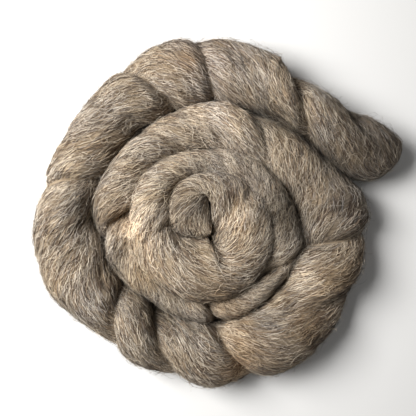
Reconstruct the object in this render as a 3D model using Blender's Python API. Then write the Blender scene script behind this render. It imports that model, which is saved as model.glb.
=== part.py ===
# Wool roving: a thick, loosely twisted strand of combed wool, wound flat in a coil of about three turns.
# The wound strand is one solid. Lengths are in millimetres and angles in degrees until the mesh is made.
import math

import bpy
import numpy as np

MM = 0.001
NAME = "roving_coil"
COLLECTION = "wool_roving"
WOOL_COLOUR = (0.323, 0.258, 0.181, 1.0)
WOOL_ROUGHNESS = 0.95

FULL_TURN = 360.0
TURN_GAP = 0.8  # air between one turn and the next
FLAT_SHARE = 0.60  # width of the flat underside as a share of the strand's width
CROWN_POWER = 2.1  # 2 is an ellipse, more is fuller

# The coil is one spiral line, the strand's outer edge. A turn fills the room between the line
# and the same line one turn further in. A turn angle starts at +X and grows along the strand.
# Columns: turn angle, distance of the line from the coil's centre.
OUTLINE = (
    (56.0, 94.2), (72.0, 94.4), (88.0, 93.4), (103.0, 93.6), (118.0, 88.6), (135.0, 84.8),
    (155.0, 84.2), (172.0, 85.6), (188.0, 89.8), (213.0, 90.0), (231.0, 84.6), (243.0, 87.0),
    (257.0, 88.6), (272.0, 92.8), (284.0, 92.6), (298.0, 96.2), (315.0, 95.8), (333.0, 94.2),
    (351.0, 91.4), (366.0, 89.8),
)
FIRST_CREASE = (
    (373.0, 83.4), (382.0, 75.6), (393.0, 70.6), (404.0, 67.2), (418.0, 64.4), (440.0, 61.2),
    (466.0, 56.0), (489.0, 55.0), (508.0, 54.0), (532.0, 57.0), (552.0, 55.2), (575.0, 55.2),
    (600.0, 53.8), (620.0, 56.6), (638.0, 59.0), (660.0, 59.8), (680.0, 57.8), (696.0, 58.2),
    (712.0, 54.4),
)
SECOND_CREASE = (
    (731.0, 48.6), (745.0, 45.0), (765.0, 41.0), (790.0, 37.0), (817.0, 33.8), (855.0, 34.8),
    (900.0, 36.2), (930.0, 39.8), (960.0, 42.8), (990.0, 46.8), (1023.0, 46.6), (1049.0, 42.2),
)
HEART_CREASE = (
    (1066.0, 38.9), (1086.0, 35.2), (1106.0, 31.4), (1125.0, 26.7), (1147.0, 23.2), (1172.0, 21.0),
    (1195.0, 20.2), (1215.0, 18.8), (1235.0, 17.0), (1260.0, 15.4), (1290.0, 15.9), (1312.0, 14.6),
    (1335.0, 12.9), (1358.0, 12.5), (1378.0, 12.4),
)

# Height of the strand's back above the table. Columns: turn angle, height.
CROWN = (
    (4.0, 29.0), (35.0, 33.0), (62.0, 32.0), (100.0, 33.0), (150.0, 30.0), (200.0, 31.0), (280.0, 32.5),
    (350.0, 29.0), (400.0, 29.5), (450.0, 33.0), (540.0, 32.0), (630.0, 27.0), (670.0, 27.0),
    (698.0, 31.0), (730.0, 31.0), (765.0, 30.0), (800.0, 31.0), (850.0, 34.5), (920.0, 36.0),
    (990.0, 37.5), (1050.0, 36.5), (1110.0, 35.0), (1170.0, 35.5), (1260.0, 35.0), (1330.0, 34.0),
    (1400.0, 32.0),
)

# Height at which neighbours touch, or the side is widest. Columns: turn angle on the line, height.
TOUCH = (
    (4.0, 15.0), (300.0, 14.0), (366.0, 12.0), (382.0, 10.0), (404.0, 9.0), (425.0, 10.0),
    (448.0, 11.0), (470.0, 8.0), (490.0, 10.0), (540.0, 12.0), (585.0, 11.0), (606.0, 8.0),
    (630.0, 10.0), (670.0, 13.0), (688.0, 15.0), (700.0, 22.0), (712.0, 23.0), (726.0, 20.0),
    (742.0, 22.0), (758.0, 21.0), (800.0, 20.0), (850.0, 22.0), (874.0, 26.0), (890.0, 25.0),
    (901.0, 20.0), (914.0, 27.0), (932.0, 28.0), (950.0, 22.0), (1000.0, 20.0), (1030.0, 24.0),
    (1048.0, 29.0), (1070.0, 30.0), (1110.0, 29.0), (1130.0, 27.0), (1150.0, 25.0), (1200.0, 26.0),
    (1240.0, 27.0), (1272.0, 26.0), (1293.0, 20.0), (1340.0, 19.0), (1390.0, 24.0),
)

# The loose end runs straight on from the coil at this turn angle.
# Columns: distance along it, reach to its outer side, reach to its inner side, height of
# its back and height of its underside.
TAIL_TURN = 62.0
TAIL = (
    (0.0, 14.8, 14.7, 32.0, 0.0), (11.0, 12.4, 13.9, 32.0, 0.0), (22.0, 11.4, 14.4, 32.0, 0.0),
    (43.0, 9.8, 18.1, 32.0, 0.0), (59.0, 9.2, 21.4, 30.5, 0.0), (69.0, 8.8, 19.6, 28.0, 0.0),
    (75.0, 7.6, 16.4, 25.5, 1.2),
    (79.0, 5.4, 12.0, 22.5, 3.6), (81.0, 2.2, 7.2, 19.5, 7.0), (81.8, 0.0, 4.0, 16.5, 10.0),
)

# In the heart of the coil the strand turns about a dimple and ends there. Columns: turn
# angle of the outer edge, then the inner edge's place from the coil's centre, X and Y.
HEART_TURN = 1012.0
HEART = (
    (1012.0, 5.6, -14.2), (1030.0, 8.0, -15.6), (1050.0, 9.2, -14.0), (1068.0, 8.8, -11.2),
    (1086.0, 8.0, -8.0), (1106.0, 7.4, -4.6), (1126.0, 7.0, -1.1), (1147.0, 6.8, 2.2),
    (1168.0, 6.5, 5.4), (1188.0, 6.0, 8.0), (1208.0, 5.2, 9.4), (1232.0, 4.2, 8.8),
    (1260.0, 3.5, 6.6), (1290.0, 3.8, 4.0), (1316.0, 4.6, 1.0), (1340.0, 5.2, -2.2),
    (1358.0, 5.7, -5.4), (1374.0, 6.3, -8.6),
)

# Folds of the twist, which cross the whole strand aslant. Columns: turn angle where a fold
# meets the outer edge and where it meets the inner edge, its depth, and how far it opens
# towards the loose end and towards the heart.
FOLDS = (
    (57.0, 36.5, 8.5, 17.0, 12.0), (92.0, 81.5, 5.0, 18.0, 8.0), (119.0, 102.0, 7.5, 17.0, 10.0),
    (170.0, 160.0, 6.0, 9.0, 14.0), (238.5, 222.0, 7.0, 14.0, 16.0), (262.0, 244.0, 9.0, 14.0, 18.0),
    (288.0, 278.0, 9.5, 18.0, 18.0), (353.5, 343.0, 8.0, 15.0, 12.0), (427.0, 392.0, 5.0, 16.0, 15.0),
    (490.0, 458.0, 4.0, 14.0, 14.0), (557.0, 536.0, 7.0, 7.0, 13.0), (640.0, 635.0, 6.5, 7.0, 12.0),
    (700.0, 671.0, 7.0, 12.0, 11.0), (800.0, 770.0, 2.4, 12.0, 12.0), (940.0, 915.0, 2.4, 12.0, 12.0),
    (1110.0, 1086.0, 3.0, 11.0, 8.0),
)

# Tucks, which cross only a share of the strand's back. Columns as for the folds, then the
# shares of the way over the back, from the outer edge, where a tuck begins and ends.
TUCKS = (
    (31.0, 4.0, 3.5, 9.0, 9.0, 0.00, 0.30),
    (94.0, 40.0, 3.0, 9.0, 9.0, 0.25, 0.80),
    (152.0, 100.0, 4.0, 9.0, 9.0, 0.10, 0.55),
    (144.0, 122.0, 5.0, 9.0, 8.0, 0.40, 1.00),
    (199.0, 183.0, 3.0, 8.0, 14.0, 0.50, 1.00),
    (224.0, 180.0, 2.5, 10.0, 10.0, 0.05, 0.75),
    (334.0, 300.0, 7.0, 12.0, 11.0, 0.00, 0.65),
    (380.0, 366.0, 2.5, 11.0, 11.0, 0.30, 1.00),
    (480.0, 418.0, 3.4, 10.0, 10.0, 0.30, 0.95),
    (581.0, 566.0, 3.6, 10.0, 10.0, 0.20, 1.00),
    (1017.0, 1031.0, 3.5, 8.0, 8.0, 0.60, 0.95),
    (1112.0, 1088.0, 4.5, 11.0, 8.0, 0.45, 1.00),
)

COIL_STEP = 5.4  # distance between sections along the coil
HEART_STEP = 3.2
TIP_STOPS = (0.0, 0.8, 2.0, 4.0, 7.0, 11.0)  # the sections that round the tip off
MOST_TOUCH = 0.94  # the widest place is never higher than this share of the height
MIDDLE_SHARE = 0.45  # height that a fold sinks towards, as a share of the strand's height
OUTER_SINK = 0.35  # share of a fold's depth that is left at the strand's outer edge
INNER_SINK = 0.12  # and at its inner edge, which the next turn lies against
SINK_RISE = 1.3  # how soon a fold is at its full depth, going up from an edge
MOST_SINK = 0.8  # the deepest fold, as a share of the way to the middle of the section
CORNER_SHARE = 0.25  # the way round a lower corner, as a share of the way over the back
HALF_ROUND = 1.3  # the way over the strand's back for each unit of its width
TUCK_FADE = 0.15  # share of the back over which a tuck runs out
FOLD_POWER = 3.0  # 1 is a plain notch, more is a narrower fold between rounder swells
CROWN_STEPS = 18
CORNER_STEPS = 3
FLAT_STEPS = 4
FINE_STEP = 0.5  # angle between the points that the edges are worked out at


def through(rows, at, column=1):
    # a smooth curve through a table's rows
    x = np.array([row[0] for row in rows])
    y = np.array([row[column] for row in rows])
    slope = np.gradient(y, x)
    at = np.clip(at, x[0], x[-1])
    k = np.clip(np.searchsorted(x, at, side="right") - 1, 0, len(x) - 2)
    width = x[k + 1] - x[k]
    t = (at - x[k]) / width
    return (
        y[k] * (1 + 2 * t) * (1 - t) ** 2
        + slope[k] * width * t * (1 - t) ** 2
        + y[k + 1] * t * t * (3 - 2 * t)
        + slope[k + 1] * width * t * t * (t - 1)
    )


LINE = OUTLINE + FIRST_CREASE + SECOND_CREASE + HEART_CREASE


def onLine(turn, side):
    # a point of the spiral line, moved to one side by half of the gap
    radius = through(LINE, turn) + side * TURN_GAP / 2
    return np.stack([radius * np.cos(np.radians(turn)), radius * np.sin(np.radians(turn))], -1)


def edges():
    # the strand's two edges in plan, its back, underside and touching heights, from tip to heart
    middle = (through(LINE, TAIL_TURN) + through(LINE, TAIL_TURN + FULL_TURN)) / 2
    perMm = math.degrees(1 / middle)
    tailTurns = TAIL_TURN - TAIL[-1][0] * perMm
    turn = np.arange(tailTurns, HEART_CREASE[-1][0], FINE_STEP)
    outer = onLine(turn, -1)
    inner = onLine(turn + FULL_TURN, 1)
    back = through(CROWN, turn)
    under = np.zeros(len(turn))

    tail = turn < TAIL_TURN
    along = (TAIL_TURN - turn[tail]) / perMm
    away = np.array([math.cos(math.radians(TAIL_TURN)), math.sin(math.radians(TAIL_TURN))])
    ahead = np.array([away[1], -away[0]])
    axis = middle * away + along[:, None] * ahead
    outer[tail] = axis + through(TAIL, along, 1)[:, None] * away
    inner[tail] = axis - through(TAIL, along, 2)[:, None] * away
    back[tail] = through(TAIL, along, 3)
    under[tail] = np.maximum(through(TAIL, along, 4), 0)

    heart = turn >= HEART_TURN
    inner[heart] = np.stack([through(HEART, turn[heart], 1), through(HEART, turn[heart], 2)], -1)
    touchOut = through(TOUCH, turn)
    touchIn = through(TOUCH, turn + FULL_TURN)
    return turn, outer, inner, back, under, touchOut, touchIn


turn, outer, inner, back, under, touchOut, touchIn = edges()
midline = (outer + inner) / 2
length = np.concatenate([[0.0], np.cumsum(np.hypot(*np.diff(midline, axis=0).T))])
strandWidth = np.hypot(*(outer - inner).T)
strand = np.column_stack([outer, inner, back, under, touchOut, touchIn])


def lengthAt(turnAngle):
    return np.interp(turnAngle, turn, length)


def foldDepth(s, share):
    # how far the folds and tucks sink below the strand's full round, at places on its back
    deepest = np.zeros(len(s))
    for row in FOLDS + TUCKS:
        outerTurn, innerTurn, depth, openTail, openHeart = row[:5]
        start, end = lengthAt(outerTurn), lengthAt(innerTurn)
        room = float(np.interp(start, length, strandWidth))
        lean = math.cos(math.atan2(end - start, HALF_ROUND * room))
        off = (s - (start + (end - start) * share)) * lean
        t = np.clip(np.where(off < 0, -off / openTail, off / openHeart), 0, 1)
        if len(row) == len(FOLDS[0]):
            sink = depth * (1 - t) ** FOLD_POWER
        else:
            begins, ends = row[5:]
            fade = np.minimum((share - begins) / TUCK_FADE + 1, (ends - share) / TUCK_FADE + 1)
            sink = depth * np.clip(fade, 0, 1) * (1 + np.cos(math.pi * t)) / 2
        deepest = np.maximum(deepest, sink)
    return deepest


def surface(atOuter, atInner):
    # the points of one section: over its back from the outer edge to the inner edge, round
    # the inner corner, along the flat underside and round the outer corner
    crown = np.linspace(0, 180, CROWN_STEPS + 1)
    corner = np.linspace(0, 90, CORNER_STEPS + 1)[1:]
    flat = np.linspace(-1, 1, FLAT_STEPS + 1)[1:-1]
    n = len(crown)
    count = n + len(flat) + 2 * len(corner)
    past = CORNER_SHARE * corner / 90
    share = np.concatenate([crown / 180, 1 + past, 0.5 - (0.5 + CORNER_SHARE) * flat, -past[::-1]])
    at = atOuter + (atInner - atOuter) * share
    values = np.stack([np.interp(at, length, strand[:, k]) for k in range(strand.shape[1])], -1)
    outerXy, innerXy = values[:, 0:2], values[:, 2:4]
    backZ, underZ, touchO, touchI = values[:, 4], values[:, 5], values[:, 6], values[:, 7]
    half = np.hypot(*(outerXy - innerXy).T) / 2

    x = np.zeros(count)
    z = np.zeros(count)
    side, rise = np.cos(np.radians(crown)), np.sin(np.radians(crown))
    x[:n] = np.sign(side) * np.abs(side) ** (2 / CROWN_POWER)
    touch = touchO[:n] + (touchI[:n] - touchO[:n]) * (1 - side) / 2
    touch = np.minimum(touch, underZ[:n] + MOST_TOUCH * (backZ[:n] - underZ[:n]))
    z[:n] = touch + (backZ[:n] - touch) * np.abs(rise) ** (2 / CROWN_POWER)
    lowIn = slice(n, n + len(corner))
    lowFlat = slice(n + len(corner), n + len(corner) + len(flat))
    lowOut = slice(n + len(corner) + len(flat), count)
    down = np.radians(corner)
    x[lowIn] = -(FLAT_SHARE + (1 - FLAT_SHARE) * np.cos(down))
    z[lowIn] = touch[-1] + (underZ[lowIn] - touch[-1]) * np.sin(down)
    x[lowFlat] = FLAT_SHARE * flat
    z[lowFlat] = underZ[lowFlat]
    up = np.radians(90 - np.concatenate([[0.0], corner[:-1]]))
    x[lowOut] = FLAT_SHARE + (1 - FLAT_SHARE) * np.cos(up)
    z[lowOut] = touch[0] + (underZ[lowOut] - touch[0]) * np.sin(up)

    left = np.zeros(count)
    edgeSink = OUTER_SINK + (INNER_SINK - OUTER_SINK) * crown / 180
    left[:n] = np.clip(edgeSink + SINK_RISE * np.abs(rise), 0, 1)
    left[lowIn] = INNER_SINK * np.cos(down)
    left[lowOut] = OUTER_SINK * np.cos(up)
    sink = foldDepth(at, share) * left
    middleZ = underZ + MIDDLE_SHARE * (backZ - underZ)
    reach = np.hypot(x * half, z - middleZ)
    keep = 1 - np.minimum(sink / reach, MOST_SINK)
    x *= keep
    z = middleZ + (z - middleZ) * keep
    middleXy = (outerXy + innerXy) / 2
    return np.column_stack([middleXy + x[:, None] * (outerXy - innerXy) / 2, z])


def stops():
    # where each section meets the outer and the inner edge: on every fold, and evenly between
    marks = [(length[0], length[0])] + [(lengthAt(f[0]), lengthAt(f[1])) for f in FOLDS]
    marks.append((length[-1], length[-1]))
    heartFrom = lengthAt(HEART_TURN)
    found = []
    for first, second in zip(marks[:-1], marks[1:]):
        gap = (sum(second) - sum(first)) / 2
        step = HEART_STEP if sum(first) / 2 > heartFrom else COIL_STEP
        parts = max(1, round(gap / step))
        for k in range(parts):
            t = k / parts
            found.append((first[0] + (second[0] - first[0]) * t, first[1] + (second[1] - first[1]) * t))
    tip = [(s, s) for s in TIP_STOPS]
    found = tip + [f for f in found if min(f) > TIP_STOPS[-1] + 1.0]
    found.append(marks[-1])
    return found


def buildMesh():
    rings = np.array([surface(*stop) for stop in stops()])
    count = rings.shape[1]
    points = rings.reshape(-1, 3)
    low, high = points.min(0), points.max(0)
    shift = np.array([(low[0] + high[0]) / 2, (low[1] + high[1]) / 2, low[2]])
    faces = []
    for r in range(len(rings) - 1):
        for k in range(count):
            a, b = r * count + k, r * count + (k + 1) % count
            faces.append((a, b, b + count, a + count))
    faces.append(tuple(range(count))[::-1])
    faces.append(tuple(range((len(rings) - 1) * count, len(rings) * count)))
    mesh = bpy.data.meshes.new(NAME)
    mesh.from_pydata(((points - shift) * MM).tolist(), [], faces)
    mesh.validate()
    mesh.shade_smooth()
    print("size", (high - low).round(1).tolist(), "coil centre", (-shift).round(3).tolist())
    print("sections", len(rings), "strand", round(float(length[-1])), "mm")
    return mesh


def main():
    for old in list(bpy.data.objects):
        bpy.data.objects.remove(old, do_unlink=True)
    collection = bpy.data.collections.new(COLLECTION)
    bpy.context.scene.collection.children.link(collection)
    mesh = buildMesh()
    coil = bpy.data.objects.new(NAME, mesh)
    collection.objects.link(coil)
    bpy.context.view_layer.objects.active = coil
    coil.select_set(True)
    bpy.ops.object.mode_set(mode="EDIT")
    bpy.ops.mesh.select_all(action="SELECT")
    bpy.ops.mesh.normals_make_consistent(inside=False)
    bpy.ops.object.mode_set(mode="OBJECT")
    wool = bpy.data.materials.new("combed_wool")
    wool.use_nodes = True
    shader = wool.node_tree.nodes["Principled BSDF"]
    shader.inputs["Base Color"].default_value = WOOL_COLOUR
    shader.inputs["Roughness"].default_value = WOOL_ROUGHNESS
    shader.inputs["Metallic"].default_value = 0.0
    mesh.materials.append(wool)


main()
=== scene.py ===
# A coil of wool roving: one thick twisted strand of combed wool, its fine locks and its loose fibres.
import math

import bpy
import numpy as np
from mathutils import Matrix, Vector


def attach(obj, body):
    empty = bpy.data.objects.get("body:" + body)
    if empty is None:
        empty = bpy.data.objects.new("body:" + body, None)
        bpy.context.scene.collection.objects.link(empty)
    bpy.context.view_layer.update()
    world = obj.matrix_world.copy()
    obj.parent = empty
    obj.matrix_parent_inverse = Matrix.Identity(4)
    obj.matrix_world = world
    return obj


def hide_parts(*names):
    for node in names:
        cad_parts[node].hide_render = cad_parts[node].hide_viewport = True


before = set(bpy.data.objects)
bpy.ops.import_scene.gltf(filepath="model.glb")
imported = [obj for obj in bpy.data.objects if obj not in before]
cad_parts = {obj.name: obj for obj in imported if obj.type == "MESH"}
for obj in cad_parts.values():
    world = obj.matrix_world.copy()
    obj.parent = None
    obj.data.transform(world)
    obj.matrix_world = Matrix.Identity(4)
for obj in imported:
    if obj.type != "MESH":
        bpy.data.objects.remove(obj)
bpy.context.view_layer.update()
print("frame loaded:", sorted(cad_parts))

mm = 0.001
fullTurn = 360.0
coilCentre = np.array([-10.568, -0.247, 0.0])  # the winding's centre in the frame; sizes below are in mm

section = {
    "press": 0.6, "heartPress": 1.5,  # how far the soft turns press into each other
    "flatShare": 0.60,  # width of the flat underside as a share of the strand's width
    "crownPower": 2.1,  # 2 is an ellipse, more is fuller
    "mostTouch": 0.94,  # the widest place is never higher than this share of the height
    "middleShare": 0.45,  # height that a fold sinks towards
    "outerSink": 0.35,  # share of a fold's depth that is left at the strand's outer edge
    "innerSink": 0.12,  # and at its inner edge, which the next turn holds up
    "sinkRise": 1.3,  # how soon a fold is at its full depth, going up from an edge
    "mostSink": 0.8,  # the deepest fold, as a share of the way to the middle of the section
    "cornerShare": 0.25,  # the way round a lower corner, as a share of the way over the back
    "halfRound": 1.3,  # the way over the back for each unit of the strand's width
    "tuckFade": 0.15,  # share of the back over which a tuck runs out
    "foldPower": 3.0,  # 1 is a plain notch, more is a narrower fold between rounder swells
    "fineStep": 0.5,  # angle between the points that the edges are worked out at
}

# The coil is one spiral line, the strand's outer edge. A turn fills the room between the line
# and the same line one turn further in. A turn angle starts at +X and grows along the strand.
# Columns: turn angle, distance of the line from the coil's centre.
outline = (
    (56.0, 94.2), (72.0, 94.4), (88.0, 93.4), (103.0, 93.6), (118.0, 88.6), (135.0, 84.8),
    (155.0, 84.2), (172.0, 85.6), (188.0, 89.8), (213.0, 90.0), (231.0, 84.6), (243.0, 87.0),
    (257.0, 88.6), (272.0, 92.8), (284.0, 92.6), (298.0, 96.2), (315.0, 95.8), (333.0, 94.2),
    (351.0, 91.4), (366.0, 89.8),
)
firstCrease = (
    (373.0, 83.4), (382.0, 75.6), (393.0, 70.6), (404.0, 67.2), (418.0, 64.4), (440.0, 61.2),
    (466.0, 56.0), (489.0, 55.0), (508.0, 54.0), (532.0, 57.0), (552.0, 55.2), (575.0, 55.2),
    (600.0, 53.8), (620.0, 56.6), (638.0, 59.0), (660.0, 59.8), (680.0, 57.8), (696.0, 58.2),
    (712.0, 54.4),
)
secondCrease = (
    (731.0, 48.6), (745.0, 45.0), (765.0, 41.0), (790.0, 37.0), (817.0, 33.8), (855.0, 34.8),
    (900.0, 36.2), (930.0, 39.8), (960.0, 42.8), (990.0, 46.8), (1023.0, 46.6), (1049.0, 42.2),
)
heartCrease = (
    (1066.0, 38.9), (1086.0, 35.2), (1106.0, 31.4), (1125.0, 26.7), (1147.0, 23.2), (1172.0, 21.0),
    (1195.0, 20.2), (1215.0, 18.8), (1235.0, 17.0), (1260.0, 15.4), (1290.0, 15.9), (1312.0, 14.6),
    (1335.0, 12.9), (1358.0, 12.5), (1378.0, 12.4),
)

# Height of the strand's back above the table. Columns: turn angle, height.
crownHeight = (
    (4.0, 29.0), (35.0, 33.0), (62.0, 32.0), (100.0, 33.0), (150.0, 30.0), (200.0, 31.0), (280.0, 32.5),
    (350.0, 29.0), (400.0, 29.5), (450.0, 33.0), (540.0, 32.0), (630.0, 27.0), (670.0, 27.0),
    (698.0, 31.0), (730.0, 31.0), (765.0, 30.0), (800.0, 31.0), (850.0, 34.5), (920.0, 36.0),
    (990.0, 37.5), (1050.0, 36.5), (1110.0, 35.0), (1170.0, 35.5), (1260.0, 35.0), (1330.0, 34.0),
    (1400.0, 32.0),
)

# Height at which neighbours touch, or the side is widest. Columns: turn angle on the line, height.
touchHeight = (
    (4.0, 15.0), (300.0, 14.0), (366.0, 12.0), (382.0, 10.0), (404.0, 9.0), (425.0, 10.0),
    (448.0, 11.0), (470.0, 8.0), (490.0, 10.0), (540.0, 12.0), (585.0, 11.0), (606.0, 8.0),
    (630.0, 10.0), (670.0, 13.0), (688.0, 15.0), (700.0, 22.0), (712.0, 23.0), (726.0, 20.0),
    (742.0, 22.0), (758.0, 21.0), (800.0, 20.0), (850.0, 22.0), (874.0, 26.0), (890.0, 25.0),
    (901.0, 20.0), (914.0, 27.0), (932.0, 28.0), (950.0, 22.0), (1000.0, 20.0), (1030.0, 24.0),
    (1048.0, 29.0), (1070.0, 30.0), (1110.0, 29.0), (1130.0, 27.0), (1150.0, 25.0), (1200.0, 26.0),
    (1240.0, 27.0), (1272.0, 26.0), (1293.0, 20.0), (1340.0, 19.0), (1390.0, 24.0),
)

# The loose end runs straight on from the coil at this turn angle.
# Columns: distance along it, reach to its outer side, reach to its inner side, height of
# its back and height of its underside.
tailTurn = 62.0
tail = (
    (0.0, 14.8, 14.7, 32.0, 0.0), (11.0, 12.4, 13.9, 32.0, 0.0), (22.0, 11.4, 14.4, 32.0, 0.0),
    (43.0, 9.8, 18.1, 32.0, 0.0), (59.0, 9.2, 21.4, 30.5, 0.0), (69.0, 8.8, 19.6, 28.0, 0.0),
    (75.0, 7.6, 16.4, 25.5, 1.2),
    (79.0, 5.4, 12.0, 22.5, 3.6), (81.0, 2.2, 7.2, 19.5, 7.0), (81.8, 0.0, 4.0, 16.5, 10.0),
)

# In the heart of the coil the strand turns about a dimple and ends there. Columns: turn
# angle of the outer edge, then the inner edge's place from the coil's centre, X and Y.
heartTurn = 1012.0
heart = (
    (1012.0, 5.6, -14.2), (1030.0, 8.0, -15.6), (1050.0, 9.2, -14.0), (1068.0, 8.8, -11.2),
    (1086.0, 8.0, -8.0), (1106.0, 7.4, -4.6), (1126.0, 7.0, -1.1), (1147.0, 6.8, 2.2),
    (1168.0, 6.5, 5.4), (1188.0, 6.0, 8.0), (1208.0, 5.2, 9.4), (1232.0, 4.2, 8.8),
    (1260.0, 3.5, 6.6), (1290.0, 3.8, 4.0), (1316.0, 4.6, 1.0), (1340.0, 5.2, -2.2),
    (1358.0, 5.7, -5.4), (1374.0, 6.3, -8.6),
)

# Folds of the twist, which cross the whole strand aslant. Columns: turn angle where a fold
# meets the outer edge and where it meets the inner edge, its depth, and how far it opens
# towards the loose end and towards the heart.
folds = (
    (57.0, 36.5, 8.5, 17.0, 12.0), (92.0, 81.5, 5.0, 18.0, 8.0), (119.0, 102.0, 7.5, 17.0, 10.0),
    (170.0, 160.0, 6.0, 9.0, 14.0), (238.5, 222.0, 7.0, 14.0, 16.0), (262.0, 244.0, 9.0, 14.0, 18.0),
    (288.0, 278.0, 9.5, 18.0, 18.0), (353.5, 343.0, 8.0, 15.0, 12.0), (427.0, 392.0, 5.0, 16.0, 15.0),
    (490.0, 458.0, 4.0, 14.0, 14.0), (557.0, 536.0, 7.0, 7.0, 13.0), (640.0, 635.0, 6.5, 7.0, 12.0),
    (700.0, 671.0, 7.0, 12.0, 11.0), (800.0, 770.0, 2.4, 12.0, 12.0), (940.0, 915.0, 2.4, 12.0, 12.0),
    (1110.0, 1086.0, 3.0, 11.0, 8.0),
)

# Tucks, which cross only a share of the strand's back. Columns as for the folds, then the
# shares of the way over the back, from the outer edge, where a tuck begins and ends.
tucks = (
    (31.0, 4.0, 3.5, 9.0, 9.0, 0.00, 0.30),
    (94.0, 40.0, 3.0, 9.0, 9.0, 0.25, 0.80),
    (152.0, 100.0, 4.0, 9.0, 9.0, 0.10, 0.55),
    (144.0, 122.0, 5.0, 9.0, 8.0, 0.40, 1.00),
    (199.0, 183.0, 3.0, 8.0, 14.0, 0.50, 1.00),
    (224.0, 180.0, 2.5, 10.0, 10.0, 0.05, 0.75),
    (334.0, 300.0, 7.0, 12.0, 11.0, 0.00, 0.65),
    (380.0, 366.0, 2.5, 11.0, 11.0, 0.30, 1.00),
    (480.0, 418.0, 3.4, 10.0, 10.0, 0.30, 0.95),
    (581.0, 566.0, 3.6, 10.0, 10.0, 0.20, 1.00),
    (1017.0, 1031.0, 3.5, 8.0, 8.0, 0.60, 0.95),
    (1112.0, 1088.0, 4.5, 11.0, 8.0, 0.45, 1.00),
)


def through(rows, at, column=1):
    # a smooth curve through a table's rows
    x = np.array([row[0] for row in rows])
    y = np.array([row[column] for row in rows])
    slope = np.gradient(y, x)
    at = np.clip(at, x[0], x[-1])
    k = np.clip(np.searchsorted(x, at, side="right") - 1, 0, len(x) - 2)
    width = x[k + 1] - x[k]
    t = (at - x[k]) / width
    return (
        y[k] * (1 + 2 * t) * (1 - t) ** 2
        + slope[k] * width * t * (1 - t) ** 2
        + y[k + 1] * t * t * (3 - 2 * t)
        + slope[k + 1] * width * t * t * (t - 1)
    )


def onLine(turn, side):
    radius = through(outline + firstCrease + secondCrease + heartCrease, turn)
    radius = radius - side * section["press"] / 2
    return np.stack([radius * np.cos(np.radians(turn)), radius * np.sin(np.radians(turn))], -1)


def edges():
    # the strand's two edges in plan, its back, underside and touching heights, from tip to heart
    line = outline + firstCrease + secondCrease + heartCrease
    middle = (through(line, tailTurn) + through(line, tailTurn + fullTurn)) / 2
    perMm = math.degrees(1 / middle)
    turn = np.arange(tailTurn - tail[-1][0] * perMm, heartCrease[-1][0], section["fineStep"])
    outer = onLine(turn, -1)
    inner = onLine(turn + fullTurn, 1)
    back = through(crownHeight, turn)
    under = np.zeros(len(turn))

    loose = turn < tailTurn
    along = (tailTurn - turn[loose]) / perMm
    away = np.array([math.cos(math.radians(tailTurn)), math.sin(math.radians(tailTurn))])
    axis = middle * away + along[:, None] * np.array([away[1], -away[0]])
    outer[loose] = axis + through(tail, along, 1)[:, None] * away
    inner[loose] = axis - (through(tail, along, 2) + 2 * section["press"])[:, None] * away
    back[loose] = through(tail, along, 3)
    under[loose] = np.maximum(through(tail, along, 4), 0)

    last = turn >= heartTurn
    inner[last] = np.stack([through(heart, turn[last], 1), through(heart, turn[last], 2)], -1)
    across = inner[last] - outer[last]
    inner[last] += section["heartPress"] * across / np.hypot(*across.T)[:, None]
    touchOut = through(touchHeight, turn)
    touchIn = through(touchHeight, turn + fullTurn)
    return turn, np.column_stack([outer, inner, back, under, touchOut, touchIn])


turn, strand = edges()
midline = (strand[:, 0:2] + strand[:, 2:4]) / 2
length = np.concatenate([[0.0], np.cumsum(np.hypot(*np.diff(midline, axis=0).T))])
strandWidth = np.hypot(*(strand[:, 0:2] - strand[:, 2:4]).T)
strandLength = length[-1]
print("strand is", round(float(strandLength)), "mm long")


def lengthAt(turnAngle):
    return np.interp(turnAngle, turn, length)


outerOpenTo = lengthAt(372.0)  # the outer wall shows up to here, where the loose end covers it
innerOpenTo = lengthAt(tailTurn)  # and the inner wall up to here


# The fibres run as the folds do. The strand is laid out flat by how far along it the middle
# of a fibre is: a fold is at one such place from edge to edge.
marks = [(0.0, 0.0)] + [(lengthAt(f[0]), lengthAt(f[1])) for f in folds] + [(strandLength, strandLength)]
markOuter = np.array([m[0] for m in marks])
markInner = np.array([m[1] for m in marks])
markMiddle = (markOuter + markInner) / 2


def foldDepth(s, share):
    # how far the folds and tucks sink below the strand's full round
    deepest = np.zeros(len(s))
    for row in folds + tucks:
        outerTurn, innerTurn, depth, openTail, openHeart = row[:5]
        start, end = lengthAt(outerTurn), lengthAt(innerTurn)
        room = float(np.interp(start, length, strandWidth))
        lean = math.cos(math.atan2(end - start, section["halfRound"] * room))
        off = (s - (start + (end - start) * share)) * lean
        t = np.clip(np.where(off < 0, -off / openTail, off / openHeart), 0, 1)
        if len(row) == len(folds[0]):
            sink = depth * (1 - t) ** section["foldPower"]
        else:
            inside = np.minimum(share - row[5], row[6] - share)
            fade = np.clip(inside / section["tuckFade"] + 1, 0, 1)
            sink = depth * fade * (1 + np.cos(math.pi * t)) / 2
        deepest = np.maximum(deepest, sink)
    return deepest


def noise(u, v, seed):
    # smooth noise from -1 to 1, with one swell to a unit
    u0, v0 = np.floor(u), np.floor(v)
    fu, fv = u - u0, v - v0
    fu, fv = fu * fu * (3 - 2 * fu), fv * fv * (3 - 2 * fv)

    def corner(a, b):
        h = np.sin(a * 127.1 + b * 311.7 + seed * 74.7) * 43758.5453
        return 2 * (h - np.floor(h)) - 1

    low = corner(u0, v0) * (1 - fu) + corner(u0 + 1, v0) * fu
    high = corner(u0, v0 + 1) * (1 - fu) + corner(u0 + 1, v0 + 1) * fu
    return low * (1 - fv) + high * fv


# Low relief of the locks, which lie along the fibres. Columns: width across the fibres,
# length along them, height.
locks = ((15.0, 30.0, 0.5), (6.0, 34.0, 0.42), (2.6, 26.0, 0.22), (1.3, 16.0, 0.12))
wayOver = 44.0  # mm over the back, edge to edge, for the pattern of the locks


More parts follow.
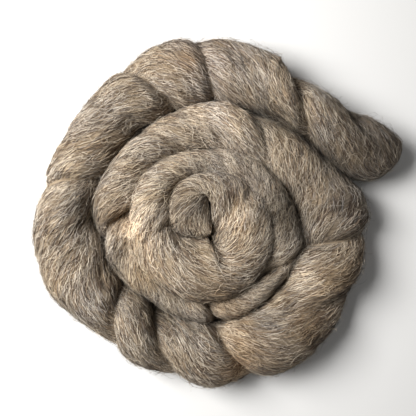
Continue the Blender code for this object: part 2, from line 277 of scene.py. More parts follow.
def relief(laid, way):
    # laid is the place along the strand, way the share of the way over its back
    v = way * wayOver
    wander = 3.0 * noise(laid / 21, v / 17, 3) + 1.2 * noise(laid / 8, v / 9, 4)
    height = np.zeros(len(laid))
    for seed, (across, along, rise) in enumerate(locks, 11):
        height += rise * noise((laid + wander) / across, v / along, seed)
    return height


def place(laid, way, lift=0.0, rough=1.0):
    # points on the strand, in mm: way runs over the back from 0 at the outer edge to 1 at
    # the inner one, round the inner corner, along the flat underside and round the outer corner
    laid, way = np.broadcast_arrays(np.asarray(laid, float), np.asarray(way, float))
    shape = laid.shape
    laid, way = laid.ravel(), way.ravel()
    lift = np.broadcast_to(np.asarray(lift, float), shape).ravel()
    turned, flatShare = section["cornerShare"], section["flatShare"]
    flatFrom, flatTo = 1 + turned, 1 + turned + 0.5
    onFlat = way > flatFrom
    flat = np.clip((way - flatFrom) / (flatTo - flatFrom), 0, 1) * 2 - 1
    share = np.where(onFlat, 0.5 - (0.5 + turned) * flat, way)
    atOuter = np.interp(laid, markMiddle, markOuter)
    atInner = np.interp(laid, markMiddle, markInner)
    at = atOuter + (atInner - atOuter) * share
    ox, oy, ix, iy, back, under, touchO, touchI = (np.interp(at, length, column) for column in strand.T)
    half = np.hypot(ox - ix, oy - iy) / 2

    crown = np.radians(180 * np.clip(share, 0, 1))
    side, rise = np.cos(crown), np.sin(crown)
    power = 2 / section["crownPower"]
    x = np.sign(side) * np.abs(side) ** power
    touch = touchO + (touchI - touchO) * (1 - side) / 2
    touch = np.minimum(touch, under + section["mostTouch"] * (back - under))
    z = touch + (back - touch) * np.abs(rise) ** power
    edgeSink = section["outerSink"] + (section["innerSink"] - section["outerSink"]) * np.clip(share, 0, 1)
    left = np.clip(edgeSink + section["sinkRise"] * rise, 0, 1)

    past = np.where(share > 1, share - 1, np.where(share < 0, -share, 0)) / turned
    down = np.radians(90 * np.clip(past, 0, 1))
    low = (past > 0) & ~onFlat
    x = np.where(low, np.sign(0.5 - share) * (flatShare + (1 - flatShare) * np.cos(down)), x)
    z = np.where(low, touch + (under - touch) * np.sin(down), z)
    left = np.where(low, edgeSink * np.cos(down), left)
    x = np.where(onFlat, flatShare * flat, x)
    z = np.where(onFlat, under, z)
    left = np.where(onFlat, 0, left)

    uneven = rough * relief(laid, share) * np.where(onFlat, 0, np.where(low, np.cos(down) ** 0.5, 1))
    middleZ = under + section["middleShare"] * (back - under)
    reach = np.maximum(np.hypot(x * half, z - middleZ), 0.01)
    keep = 1 - np.minimum(foldDepth(at, share) * left / reach, section["mostSink"])
    keep = keep + (uneven + lift) / reach
    points = np.column_stack([
        (ox + ix) / 2 + x * keep * (ox - ix) / 2,
        (oy + iy) / 2 + x * keep * (oy - iy) / 2,
        middleZ + (z - middleZ) * keep,
    ])
    return (points + coilCentre).reshape(*shape, 3)


def unit(vectors):
    return vectors / np.maximum(np.linalg.norm(vectors, axis=-1, keepdims=True), 1e-9)


def normals(laid, way):
    # outward directions of the strand, from its slope both ways
    step, turnStep = 0.8, 0.012
    a = place(laid + step, way) - place(laid - step, way)
    b = place(laid, way + turnStep) - place(laid, way - turnStep)
    return unit(np.cross(a, b))


# How the fibres lie: they lean off the strand's run by its twist, and wander a little about that.
# Angles are in degrees. wayEdge is how far down the walls they are worked out.
combLook = {"lean": -34.0, "wander": 15.0, "swell": 19.0, "laidStep": 1.06, "wayStep": 0.025, "wayEdge": 0.25}


def combField(look):
    # the fibres' direction all over the strand, as steps of laid and way for each mm along
    # them and for each mm to their side
    laid = np.arange(0.0, strandLength, look["laidStep"])
    way = np.arange(-look["wayEdge"], 1 + look["wayEdge"] + 1e-9, look["wayStep"])
    points = place(laid[:, None], way[None, :], 0.0, 0.0)
    byLaid = np.gradient(points, laid, axis=0)
    byWay = np.gradient(points, way, axis=1)
    axis = unit(byLaid)
    out = unit(np.cross(byLaid, byWay))
    across = np.cross(out, axis)
    wander = noise(laid[:, None] / look["swell"], way[None, :] * wayOver / look["swell"], 41)
    angle = np.radians(look["lean"] + look["wander"] * wander)[..., None]
    ahead = axis * np.cos(angle) + across * np.sin(angle)
    aside = np.cross(out, ahead)

    # the same two directions as steps of laid and way
    ll, lw, ww = (byLaid**2).sum(-1), (byLaid * byWay).sum(-1), (byWay**2).sum(-1)
    steps = []
    for direction in (ahead, aside):
        l, w = (direction * byLaid).sum(-1), (direction * byWay).sum(-1)
        whole = np.maximum(ll * ww - lw * lw, 1e-6)
        steps += [(l * ww - w * lw) / whole, (w * ll - l * lw) / whole]
    return np.concatenate([np.stack(steps, -1), ahead], -1)


combed = combField(combLook)
print("fibres' directions:", combed.shape[:2])


def combAt(laid, way):
    # laid and way for a mm ahead, laid and way for a mm aside, and the way ahead in space
    i = np.clip(np.rint(laid / combLook["laidStep"]).astype(int), 0, combed.shape[0] - 1)
    j = np.rint((way + combLook["wayEdge"]) / combLook["wayStep"]).astype(int)
    j = np.clip(j, 0, combed.shape[1] - 1)
    return combed[i, j]


def overCrease(laid, way):
    # where a fibre that runs off one edge of the strand comes onto the turn beside it
    outward = way < 0
    atOuter, atInner = (np.interp(laid, markMiddle, marked) for marked in (markOuter, markInner))
    at = np.where(outward, atOuter, atInner)
    beside = np.interp(at, length, turn) + np.where(outward, -fullTurn, fullTurn)
    touches = (outward | (way > 1)) & (beside > tailTurn) & (beside < turn[-1])
    touches &= outward | ((beside - fullTurn > tailTurn + 20) & (beside - fullTurn < heartTurn))
    there = np.interp(beside, turn, length)
    fromInner, fromOuter = (np.interp(there, marked, markMiddle) for marked in (markInner, markOuter))
    thereLaid = np.where(outward, fromInner, fromOuter)
    thereWay = np.where(outward, 1 + way, way - 1)
    return np.where(touches, thereLaid, laid), np.where(touches, thereWay, way), touches


def walk(laid, way, half, stepsEach, turned, crosses):
    # follows the combing from a fibre's middle to one end: laid, way and the step aside at
    # each station. turned is how far the fibre is off the combing, in radians
    before = combAt(laid, way)[:, 4:7] * np.sign(half)[:, None]
    sizes = np.abs(half)[:, None] / stepsEach
    track = [(laid, way)]
    sides = []
    for k in range(stepsEach):
        here = combAt(laid, way)
        sign = np.where((here[:, 4:7] * before).sum(-1) < 0, -1.0, 1.0)[:, None]
        before = here[:, 4:7] * sign
        c, q = np.cos(turned[:, k])[:, None] * sign, np.sin(turned[:, k])[:, None] * sign
        sides.append(here[:, 2:4] * c - here[:, 0:2] * q)
        move = (here[:, 0:2] * c + here[:, 2:4] * q) * sizes
        laid = np.clip(laid + move[:, 0], 0.05, strandLength - 0.05)
        way = way + move[:, 1]
        over = crosses & ((way < 0) | (way > 1))
        newLaid, newWay, touches = overCrease(laid, way)
        over &= touches
        laid, way = np.where(over, newLaid, laid), np.where(over, newWay, way)
        way = np.clip(way, -0.245, 1.245)
        track.append((laid, way))
    sides.append(sides[-1])
    laids, ways = (np.stack([at[k] for at in track], 1) for k in (0, 1))
    return laids, ways, np.stack(sides, 1)


def deselect():
    if bpy.context.mode != "OBJECT":
        bpy.ops.object.mode_set(mode="OBJECT")
    bpy.ops.object.select_all(action="DESELECT")


def setPoints(mesh, name, kind, values):
    # one vector or colour for each point of a mesh
    layer = mesh.attributes.new(name, kind, "POINT")
    field = {"FLOAT_VECTOR": "vector", "FLOAT_COLOR": "color"}[kind]
    layer.data.foreach_set(field, np.ascontiguousarray(values, np.float32).ravel())


# Tones of the single fibres, as linear colour.
tones = {
    "cream": (0.600, 0.520, 0.415),
    "oat": (0.460, 0.375, 0.275),
    "fawn": (0.290, 0.215, 0.145),
    "smoke": (0.260, 0.222, 0.186),
    "taupe": (0.150, 0.110, 0.078),
    "umber": (0.075, 0.050, 0.034),
}

# Washes of the fleece: what red, green and blue are multiplied by.
washes = {
    "plain": (1.00, 0.99, 0.97),
    "cream": (1.02, 0.98, 0.91),
    "rust": (1.08, 0.95, 0.80),
    "grey": (0.99, 0.99, 1.03),
}

# Patches of tone: partly where the fleece is lighter, darker or redder, and partly painted light and painted
# shade, such as lighter lobes, shade right of the heart and over the loose end. Columns: X and Y from the
# coil's centre, reach, how light it is and its wash.
tonePatchesAndPaintedLight = (
    (-33, -6, 13, 2.0, "cream"), (-20, -33, 13, 1.5, "cream"), (20, -6, 15, 1.6, "cream"),
    (12, 8, 9, 1.2, "plain"), (-29, 30, 20, 1.2, "plain"), (15, 44, 16, 1.5, "plain"),
    (55, -37, 16, 1.5, "plain"), (16, -62, 11, 1.3, "plain"), (58, 8, 12, 1.4, "cream"),
    (-80, 12, 18, 1.3, "plain"), (-77, -34, 9, 1.4, "plain"), (62, 53, 8, 1.3, "plain"),
    (-82, 55, 16, 1.2, "grey"), (20, -83, 6, 1.3, "rust"), (5, 78, 28, 1.15, "grey"),
    (45, 0, 15, 0.24, "plain"), (41, -38, 8, 0.5, "plain"), (92, 38, 25, 0.38, "grey"),
    (28, -74, 13, 0.75, "rust"), (12, -46, 12, 0.7, "rust"), (-20, -55, 8, 0.6, "plain"),
    (-30, -46, 11, 0.6, "plain"), (-50, -28, 8, 0.7, "plain"), (-61, 2, 10, 0.5, "plain"),
    (-44, -2, 8, 0.6, "rust"), (78, -38, 12, 0.45, "rust"), (60, -60, 12, 0.5, "rust"),
    (40, 48, 9, 0.7, "plain"), (73, 5, 12, 0.6, "grey"), (72, 58, 11, 0.7, "plain"),
    (24, 18, 11, 0.7, "grey"), (-4, 82, 10, 0.7, "rust"), (8, -13, 5, 0.6, "plain"),
    (-6, 3, 10, 0.72, "plain"), (4, 7, 6, 0.7, "plain"), (-32, 55, 7, 0.65, "plain"),
)

# Creases too deep for the light to reach. Columns: turn angles that one runs between, reach, tone.
deepCreases = ((374.0, 421.0, 4.0, 0.38),)


# Painted shade: wool deep between the turns is darkened, and by the share atOpen where nothing hides it. from
# and to are shares of the strand's height, and fade is how soon the cover of a neighbour starts.
paintedHollowShade = {"tone": 0.14, "from": 0.28, "to": 0.64, "atOpen": 0.30, "fade": 12.0}

# The wool drifts to a warmer or cooler shade in broad clouds, and in streaks along the fibres.
drift = {"shade": (0.035, 0.0, -0.065), "cloud": 11.0, "streak": (4.5, 9.0), "streaks": 0.7}


def fleeceAndPaintedShade(points, laid, way):
    # what the patches (fleece tone, painted light and painted shade) and the painted shade of the hollows and
    # deep creases make of the tone at these points
    top = np.interp(laid, markMiddle, np.interp(markMiddle, length, strand[:, 4]))
    up = np.clip((points[:, 2] / top - paintedHollowShade["from"]) / (paintedHollowShade["to"] - paintedHollowShade["from"]), 0, 1)
    openTo = np.where(way > 0.5, innerOpenTo, outerOpenTo)
    hidden = np.clip((laid - openTo) / paintedHollowShade["fade"] + 0.5, 0, 1) * (way < 1.25)
    cover = paintedHollowShade["atOpen"] + (1 - paintedHollowShade["atOpen"]) * hidden
    # painted shade, darker the lower the wool lies between the turns
    paintedShade = cover * (1 - paintedHollowShade["tone"]) * (1 - up * up * (3 - 2 * up))
    tint = np.ones((len(points), 3)) * (1 - paintedShade)[:, None]
    fromCentre = points[:, :2] - coilCentre[:2]
    # patches of fleece tone, and of painted light and painted shade
    for x, y, reach, light, wash in tonePatchesAndPaintedLight:
        near = np.exp(-((fromCentre - (x, y)) ** 2).sum(-1) / reach**2)[:, None]
        tint *= 1 + (light * np.array(washes[wash]) - 1) * near
    for first, last, reach, tone in deepCreases:
        away = np.full(len(points), np.inf)
        for spot in onLine(np.arange(first, last, 2.0), 0):
            away = np.minimum(away, ((fromCentre - spot) ** 2).sum(-1))
        tint *= 1 + (tone - 1) * np.exp(-away / reach**2)[:, None]
    across, down = drift["streak"]
    warm = noise(points[:, 0] / drift["cloud"], points[:, 1] / drift["cloud"], 31)
    warm = warm + drift["streaks"] * noise(laid / across, points[:, 2] / down, 32)
    return tint * (1 + warm[:, None] * np.array(drift["shade"]))


def node(tree, kind, **values):
    made = tree.nodes.new(kind if kind.startswith("Node") else "ShaderNode" + kind)
    for name, value in values.items():
        setattr(made, name, value)
    return made


def streakGroup():
    # streaks that run with the fibres: a mask from 0 to 1 and a height
    group = bpy.data.node_groups.new("combedStreaks", "ShaderNodeTree")
    for name, start in (("Fine", 1.0), ("Length", 0.07)):
        group.interface.new_socket(name, in_out="INPUT", socket_type="NodeSocketFloat").default_value = start
    for name in ("Mask", "Height"):
        group.interface.new_socket(name, in_out="OUTPUT", socket_type="NodeSocketFloat")
    inputs, outputs = node(group, "NodeGroupInput"), node(group, "NodeGroupOutput")
    laid = node(group, "Attribute", attribute_name="laid")
    stretch = node(group, "CombineXYZ")
    scaled = node(group, "VectorMath", operation="MULTIPLY")
    group.links.new(inputs.outputs["Fine"], stretch.inputs["X"])
    group.links.new(inputs.outputs["Length"], stretch.inputs["Y"])
    stretch.inputs["Z"].default_value = 1.0
    group.links.new(laid.outputs["Vector"], scaled.inputs[0])
    group.links.new(stretch.outputs["Vector"], scaled.inputs[1])
    streaks = node(group, "TexNoise")
    streaks.inputs["Scale"].default_value = 1.0
    streaks.inputs["Detail"].default_value = 3.0
    streaks.inputs["Roughness"].default_value = 0.62
    streaks.inputs["Distortion"].default_value = 0.35
    group.links.new(scaled.outputs["Vector"], streaks.inputs["Vector"])
    spread = node(group, "MapRange")
    spread.inputs["From Min"].default_value = 0.28
    spread.inputs["From Max"].default_value = 0.72
    group.links.new(streaks.outputs["Fac"], spread.inputs["Value"])
    group.links.new(spread.outputs["Result"], outputs.inputs["Mask"])
    group.links.new(streaks.outputs["Fac"], outputs.inputs["Height"])
    return group


def woolMaterial(name, streaks, look):
    # wool in the piece's own tones, streaked between a darker and a lighter shade of them
    material = bpy.data.materials.new(name)
    material.use_nodes = True
    tree = material.node_tree
    shader = tree.nodes["Principled BSDF"]
    shader.inputs["Roughness"].default_value = look["roughness"]
    shader.inputs["Specular IOR Level"].default_value = look["specular"]
    shader.inputs["Sheen Weight"].default_value = look["sheen"]
    shader.inputs["Sheen Roughness"].default_value = 0.5
    shader.inputs["Sheen Tint"].default_value = (0.95, 0.90, 0.82, 1.0)
    group = node(tree, "Group")
    group.node_tree = streaks
    group.inputs["Fine"].default_value = look["fine"]
    group.inputs["Length"].default_value = look["length"]
    tone = node(tree, "Attribute", attribute_name="tone")
    shades = node(tree, "ValToRGB")
    ramp = shades.color_ramp
    ramp.elements[0].color = (*look["dark"], 1.0)
    ramp.elements[1].color = (*look["light"], 1.0)
    mix = node(tree, "Mix", data_type="RGBA", blend_type="MULTIPLY")
    mix.inputs["Factor"].default_value = 1.0
    tree.links.new(group.outputs["Mask"], shades.inputs["Fac"])
    tree.links.new(tone.outputs["Color"], mix.inputs[6])
    tree.links.new(shades.outputs["Color"], mix.inputs[7])
    tree.links.new(mix.outputs[2], shader.inputs["Base Color"])
    if look["bump"]:
        bump = node(tree, "Bump")
        bump.inputs["Strength"].default_value = look["bump"]
        bump.inputs["Distance"].default_value = look["bumpDepth"] * mm
        tree.links.new(group.outputs["Height"], bump.inputs["Height"])
        tree.links.new(bump.outputs["Normal"], shader.inputs["Normal"])
    return material


combedStreaks = streakGroup()


strandLook = {
    "around": 64, "alongStrand": 520, "tipCrowd": 14.0,
    "roughness": 0.95, "specular": 0.15, "sheen": 0.25,
    "fine": 1.1, "length": 0.07, "bump": 0.8, "bumpDepth": 0.7,
    "dark": (0.45, 0.43, 0.40), "light": (1.35, 1.34, 1.32),
    "tone": (0.255, 0.200, 0.140),
    "mapRows": 4,
}


def addStrand(look):
    deselect()
    rings, around = look["alongStrand"], look["around"]
    bpy.ops.mesh.primitive_grid_add(x_subdivisions=rings, y_subdivisions=around, size=1.0, calc_uvs=True)
    piece = bpy.context.object
    piece.name = "combedStrand"
    mesh = piece.data
    flat = np.empty(len(mesh.vertices) * 3, np.float32)
    mesh.vertices.foreach_get("co", flat)
    flat = flat.reshape(-1, 3).astype(float)
    along = np.clip(flat[:, 0] - flat[:, 0].min(), 0, 1)
    way = np.clip(flat[:, 1] - flat[:, 1].min(), 0, 1)
    # the rings crowd towards the tip, which rounds off quickly
    crowd = look["tipCrowd"] / strandLength
    laid = strandLength * (along * (1 - crowd) + crowd * along * along)
    spans = (1.0, 0.25, 0.5, 0.25)  # the back, a corner, the flat and the other corner
    shares = (0.66, 0.11, 0.12, 0.11)  # of the points around
    way = np.interp(way, np.cumsum((0, *shares)), np.cumsum((0, *spans)))
    wrapped = np.where(way > 1.75, way - 2.0, way)
    points = place(laid, wrapped)
    points[:, 2] = np.maximum(points[:, 2], 0.0)
    mesh.vertices.foreach_set("co", (points * mm).astype(np.float32).ravel())
    setPoints(mesh, "laid", "FLOAT_VECTOR", np.column_stack([laid, way * wayOver, np.zeros(len(laid))]))
    # the tone holds the fleece's own colour and the painted light and shade of the patches, hollows and
    # creases
    tone = np.array(look["tone"]) * fleeceAndPaintedShade(points, laid, wrapped)
    setPoints(mesh, "tone", "FLOAT_COLOR", np.column_stack([tone, np.ones(len(tone))]))
    layRows(mesh, look["mapRows"])
    bpy.ops.object.mode_set(mode="EDIT")
    bpy.ops.mesh.select_all(action="SELECT")
    bpy.ops.mesh.remove_doubles(threshold=1e-6)
    bpy.ops.mesh.select_all(action="SELECT")
    bpy.ops.mesh.region_to_loop()
    bpy.ops.mesh.fill_holes(sides=0)
    bpy.ops.mesh.select_all(action="SELECT")
    bpy.ops.mesh.normals_make_consistent(inside=False)
    bpy.ops.object.mode_set(mode="OBJECT")
    mesh.shade_smooth()
    return piece


def layRows(mesh, rows):
    # the piece's map: the strand cut into equal lengths, laid in rows one above the other
    first = mesh.uv_layers[0]
    uv = np.empty(len(mesh.loops) * 2, np.float32)
    first.data.foreach_get("uv", uv)
    uv = uv.reshape(-1, 2)
    starts = np.empty(len(mesh.polygons), np.int32)
    totals = np.empty(len(mesh.polygons), np.int32)
    mesh.polygons.foreach_get("loop_start", starts)
    mesh.polygons.foreach_get("loop_total", totals)
    face = np.repeat(np.arange(len(starts)), totals)
    middle = np.add.reduceat(uv[:, 0], starts) / totals
    row = np.clip(np.floor(middle * rows), 0, rows - 1)[face]
    edge = 0.004
    laidOut = np.column_stack([
        edge + (1 - 2 * edge) * (uv[:, 0] * rows - row),
        (row + edge * rows + (1 - 2 * edge * rows) * uv[:, 1]) / rows,
    ])
    first.name = "OFBake"
    first.data.foreach_set("uv", laidOut.astype(np.float32).ravel())


combedStrand = addStrand(strandLook)
combedStrand.data.materials.append(woolMaterial("combedWool", combedStreaks, strandLook))
print("strand:", len(combedStrand.data.polygons), "faces")


# Each layer lies over the one before. A lock is a row of fibres side by side that run much
# the same way, light and dark by turns. Widths, lengths, lifts, spacing and crimp are in mm.
# lean is how far a lock and then a single fibre stray from the combing, curl how far a fibre
# wanders and loose how far its crimp is out of step, all in radians. crossing is the share
# that spans from one turn to the next, and mix is how often each tone is picked.
fibreLook = {
    "roughness": 0.85, "specular": 0.2, "sheen": 0.15,
    "fine": 5.5, "length": 0.35, "bump": 0.0, "bumpDepth": 0.0,
    "dark": (0.78, 0.77, 0.76), "light": (1.20, 1.20, 1.19),
}
underFibres = {
    "name": "underFibres", "seed": 21, "locks": 2300, "inLock": 6, "steps": 6,
    "width": (0.45, 0.80), "length": (7.0, 13.0), "lift": (0.02, 0.30), "loft": 0.2,
    "spacing": 0.60, "lean": (0.12, 0.06), "curl": 0.10, "crimp": (0.03, 0.15), "wave": (4.5, 8.0),
    "loose": 0.6, "crossing": 0.1, "slack": 0,
    # the mix leans to dark tones: partly the wool's own dark fibres, partly painted shade in the depths under
    # the lighter layers above
    "mix": {"oat": 1, "smoke": 2, "fawn": 3, "taupe": 6, "umber": 4},
}
bodyFibres = {
    "name": "bodyFibres", "seed": 22, "locks": 1170, "inLock": 10, "steps": 8,
    "width": (0.24, 0.42), "length": (5.0, 10.0), "lift": (0.10, 0.50), "loft": 0.2,
    "spacing": 0.54, "lean": (0.08, 0.05), "curl": 0.05, "crimp": (0.06, 0.22), "wave": (2.6, 4.2),
    "loose": 0.5, "crossing": 0.2, "slack": 0,
    "mix": {"cream": 5, "oat": 4, "smoke": 3, "fawn": 2, "taupe": 5, "umber": 3},
}
fineFibres = {
    "name": "fineFibres", "seed": 25, "locks": 1650, "inLock": 8, "steps": 7,
    "width": (0.14, 0.27), "length": (4.0, 8.0), "lift": (0.25, 0.75), "loft": 0.25,
    "spacing": 0.54, "lean": (0.16, 0.12), "curl": 0.10, "crimp": (0.10, 0.32), "wave": (2.0, 3.2),
    "loose": 0.7, "crossing": 0.3, "slack": 0,
    "mix": {"cream": 6, "oat": 4, "smoke": 3, "fawn": 2, "taupe": 4, "umber": 3},
}
topFibres = {
    "name": "topFibres", "seed": 23, "locks": 2350, "inLock": 4, "steps": 10,
    "width": (0.11, 0.22), "length": (6.0, 11.0), "lift": (0.35, 0.95), "loft": 0.35,
    "spacing": 0.70, "lean": (0.20, 0.18), "curl": 0.20, "crimp": (0.16, 0.40), "wave": (2.2, 3.6),
    "loose": 1.2, "crossing": 0.3, "slack": 0,
    "mix": {"cream": 7, "oat": 4, "smoke": 3, "fawn": 1, "taupe": 2, "umber": 2},
}
strayFibres = {
    "name": "strayFibres", "seed": 24, "locks": 6000, "inLock": 1, "steps": 12,
    "width": (0.08, 0.18), "length": (5.0, 11.0), "lift": (0.4, 1.5), "loft": 1.4,
    "spacing": 1.0, "lean": (0.5, 0.3), "curl": 0.6, "crimp": (0.14, 0.40), "wave": (2.4, 4.4),
    "loose": 3.0, "crossing": 0.6, "slack": 1,
    "mix": {"cream": 6, "oat": 3, "smoke": 3, "fawn": 0.5, "umber": 1},
}
haloFibres = {
    "name": "haloFibres", "seed": 26, "locks": 1500, "inLock": 1, "steps": 12,
    "width": (0.06, 0.13), "length": (7.0, 18.0), "lift": (0.5, 2.2), "loft": 1.6,
    "spacing": 1.0, "lean": (0.7, 0.4), "curl": 0.8, "crimp": (0.2, 0.5), "wave": (3.0, 6.0),
    "loose": 3.0, "crossing": 0, "slack": 1, "edge": 0.12,
    "mix": {"cream": 3, "oat": 3, "smoke": 4, "taupe": 3, "umber": 2},
}


def fibrePlaces(count, dice, edge):
    # where fibres start: all over the back, and down the walls where no neighbour hides them.
    # With an edge, they start within that share of the way from an open edge
    laid = dice.uniform(0, outerOpenTo if edge else strandLength, count * 2)
    way = dice.uniform(-0.22, 1.22, count * 2)
    if edge:
        way = np.where(way > 1.0, way, (way + 0.22) / 1.22 * (edge + 0.22) - 0.22)
    shown = (way > -0.01) | (laid < outerOpenTo)
    shown &= (way < 1.01) | (laid < innerOpenTo)
    # the turns are shorter on their inner side, so fewer start there
    spread = np.linalg.norm(place(laid + 0.5, way) - place(laid - 0.5, way), axis=-1)
    shown &= dice.uniform(0, 1.7, count * 2) < spread
    return laid[shown][:count], way[shown][:count]


def slacken(line, times):
    # eases a line of points towards a straight span, its ends kept
    for _ in range(times):
        line[:, 1:-1] = line[:, 1:-1] * 0.4 + (line[:, :-2] + line[:, 2:]) * 0.3
    return line


def addFibres(look):
    dice = np.random.default_rng(look["seed"])
    lockLaid, lockWay = fibrePlaces(look["locks"], dice, look.get("edge", 0))
    count = len(lockLaid) * look["inLock"]
    lockOf = np.repeat(np.arange(len(lockLaid)), look["inLock"])
    rank = np.tile(np.arange(look["inLock"]), len(lockLaid))
    laid, way = lockLaid[lockOf], lockWay[lockOf]
    here = combAt(laid, way)
    aside = (rank - (look["inLock"] - 1) / 2 + dice.normal(0, 0.15, count)) * look["spacing"]
    onward = dice.normal(0, 2.5, count)
    laid = np.clip(laid + aside * here[:, 2] + onward * here[:, 0], 0.1, strandLength - 0.1)
    way = np.clip(way + aside * here[:, 3] + onward * here[:, 1], -0.22, 1.22)

    steps = look["steps"]
    first = steps // 2
    fibreLength = dice.uniform(*look["length"], count)
    lean = dice.normal(0, look["lean"][0], len(lockLaid))[lockOf] + dice.normal(0, look["lean"][1], count)
    curl = np.cumsum(dice.normal(0, look["curl"] / 2, (count, steps)), axis=1)
    crosses = dice.uniform(0, 1, count) < look["crossing"]
    back = walk(laid, way, -fibreLength * first / steps, first, lean[:, None] - curl[:, :first], crosses)
    rest = steps - first
    on = walk(laid, way, fibreLength * rest / steps, rest, lean[:, None] + curl[:, first:], crosses)
    laids, ways = (np.concatenate([back[k][:, :0:-1], on[k]], 1) for k in (0, 1))
    sides = np.concatenate([-back[2][:, :0:-1], on[2]], 1)

    t = np.linspace(-0.5, 0.5, steps + 1)[None, :]
    d = t * fibreLength[:, None]
    wave = dice.uniform(*look["wave"], len(lockLaid))[lockOf, None]
    crimp = dice.uniform(*look["crimp"], len(lockLaid))[lockOf, None]
    phase = dice.uniform(0, 2 * math.pi, len(lockLaid))[lockOf] + 2 * math.pi * onward / wave[:, 0]
    phase = (phase + dice.normal(0, look["loose"], count))[:, None]
    sway = crimp * np.sin(2 * math.pi * d / wave + phase)
    bed = dice.uniform(*look["lift"], count)[:, None]
    rise = dice.exponential(look["loft"], count)[:, None]
    lifts = bed + rise * np.clip(2 * np.abs(t + dice.uniform(-0.3, 0.3, count)[:, None]), 0, 1) ** 2 * 0.6
    lifts = np.maximum(lifts + 0.6 * crimp * np.cos(2 * math.pi * d / wave + 1.7 * phase), 0.02)
    line = slacken(place(laids, ways, lifts), look["slack"])
    out = normals(laids, ways)
    ahead = unit(np.gradient(line, axis=1))
    aside = unit(np.cross(out, ahead))
    line = line + aside * sway[..., None]
    line[..., 2] = np.maximum(line[..., 2], 0.15)
    ahead = unit(np.gradient(line, axis=1))
    aside = unit(np.cross(out, ahead))
    roll = dice.normal(0, 0.5, count)[:, None, None]
    aside = aside * np.cos(roll) + out * np.sin(roll)
    taper = (1 - (2 * np.abs(t)) ** 4 * 0.75)[..., None]
    halfWidth = dice.uniform(*look["width"], count)[:, None, None] / 2 * taper
    points = np.stack([line - aside * halfWidth, line + aside * halfWidth], axis=2)

    names = list(look["mix"])
    odds = np.array([look["mix"][name] for name in names], float)
    pick = dice.uniform(0, 1, count)
    if look["inLock"] > 1:
        pick = (rank % 2 + pick) / 2
    picked = np.searchsorted(np.cumsum(odds / odds.sum()), pick * 0.9999)
    tone = np.array([tones[name] for name in names])[picked]
    # the tone holds the fleece's own colour and the painted light and shade of the patches, hollows and
    # creases
    tone = tone * fleeceAndPaintedShade(line[:, steps // 2], laids[:, steps // 2], ways[:, steps // 2])
    tone = tone * dice.normal(1, 0.08, count).clip(0.7, 1.3)[:, None]
    return ribbons(look["name"], points, tone, d, halfWidth[..., 0] + 0 * d)


def ribbons(name, points, tone, along, halfWidth):
    # one mesh of many ribbons, each a row of four-sided faces
    count, stations = points.shape[:2]
    index = np.arange(count * stations * 2).reshape(count, stations, 2)
    corners = (index[:, :-1, 0], index[:, :-1, 1], index[:, 1:, 1], index[:, 1:, 0])
    faces = np.stack(corners, -1).reshape(-1, 4)
    mesh = bpy.data.meshes.new(name)
    mesh.vertices.add(index.size)
    mesh.loops.add(faces.size)
    mesh.polygons.add(len(faces))
    mesh.vertices.foreach_set("co", (points * mm).astype(np.float32).ravel())
    mesh.loops.foreach_set("vertex_index", faces.astype(np.int32).ravel())
    mesh.polygons.foreach_set("loop_start", np.arange(len(faces), dtype=np.int32) * 4)
    mesh.update(calc_edges=True)
    mesh.validate()
    colour = np.concatenate([tone, np.ones((count, 1))], 1)
    setPoints(mesh, "tone", "FLOAT_COLOR", np.repeat(colour, stations * 2, axis=0))
    across = np.stack([-halfWidth, halfWidth], -1)
    own = np.broadcast_to(np.arange(count)[:, None, None] * 3.7, across.shape)
    laid = np.stack([across, np.broadcast_to(along[..., None], across.shape), own], -1)
    setPoints(mesh, "laid", "FLOAT_VECTOR", laid.reshape(-1, 3))

    # the piece's map: a small cell for each ribbon
    cells = math.ceil(math.sqrt(count))
    column, row = np.arange(count) % cells, np.arange(count) // cells
    alongCell = np.linspace(0.2, 0.8, stations)[None, :, None]
    acrossCell = np.array([0.25, 0.75])[None, None, :]
    u = (column[:, None, None] + alongCell + 0 * acrossCell) / cells
    v = (row[:, None, None] + acrossCell + 0 * alongCell) / cells
    uv = np.stack([u, v], -1).reshape(-1, 2)[faces.ravel()]
    mesh.uv_layers.new(name="OFBake").data.foreach_set("uv", uv.astype(np.float32).ravel())
    mesh.shade_smooth()
    piece = bpy.data.objects.new(name, mesh)
    bpy.context.scene.collection.objects.link(piece)
    return piece


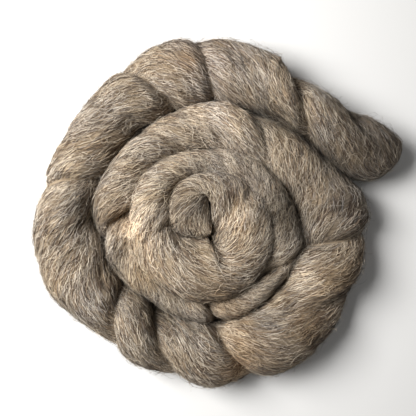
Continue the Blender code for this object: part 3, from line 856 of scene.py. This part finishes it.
fibreWool = woolMaterial("looseFibre", combedStreaks, fibreLook)
fibrePieces = []
for look in (underFibres, bodyFibres, fineFibres, topFibres, strayFibres, haloFibres):
    piece = addFibres(look)
    piece.data.materials.append(fibreWool)
    fibrePieces.append(piece)
    print(look["name"] + ":", len(piece.data.polygons) * 2, "triangles")


stage = {
    "floorSize": 3.0, "floorTone": (0.80, 0.79, 0.77),
    "keyFrom": (-0.33, 0.11, 0.41), "keySize": 0.30, "keyPower": 5.4,  # in metres and watts
    "fill": 0.15,
}
camera = {"lens": 50.0, "sensor": 36.0, "aim": (-5.73, 2.99), "height": 330.0}


def addStage(look):
    deselect()
    bpy.ops.mesh.primitive_plane_add(size=look["floorSize"], location=(0, 0, -0.3 * mm))
    floor = bpy.context.object
    floor.name = "floor"
    paint = bpy.data.materials.new("paleFloor")
    paint.use_nodes = True
    paint.node_tree.nodes["Principled BSDF"].inputs["Base Color"].default_value = (*look["floorTone"], 1.0)
    paint.node_tree.nodes["Principled BSDF"].inputs["Roughness"].default_value = 0.9
    floor.data.materials.append(paint)

    bpy.ops.object.light_add(type="AREA", location=look["keyFrom"])
    key = bpy.context.object
    key.data.size = look["keySize"]
    key.data.energy = look["keyPower"]
    key.rotation_euler = (-Vector(look["keyFrom"])).to_track_quat("-Z", "Y").to_euler()

    world = bpy.data.worlds.new("softRoom")
    bpy.context.scene.world = world
    world.use_nodes = True
    world.node_tree.nodes["Background"].inputs["Color"].default_value = (1.0, 1.0, 1.0, 1.0)
    world.node_tree.nodes["Background"].inputs["Strength"].default_value = look["fill"]


def addCamera(look):
    x, y = look["aim"]
    bpy.ops.object.camera_add(location=(x * mm, y * mm, look["height"] * mm), rotation=(0, 0, 0))
    taker = bpy.context.object
    taker.data.lens = look["lens"]
    taker.data.sensor_width = look["sensor"]
    taker.data.clip_start = 0.01
    bpy.context.scene.camera = taker


addStage(stage)
addCamera(camera)
bpy.context.scene.view_settings.view_transform = "Standard"
print("stage set")

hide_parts("roving_coil")
for piece in [combedStrand] + fibrePieces:
    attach(piece, "root")
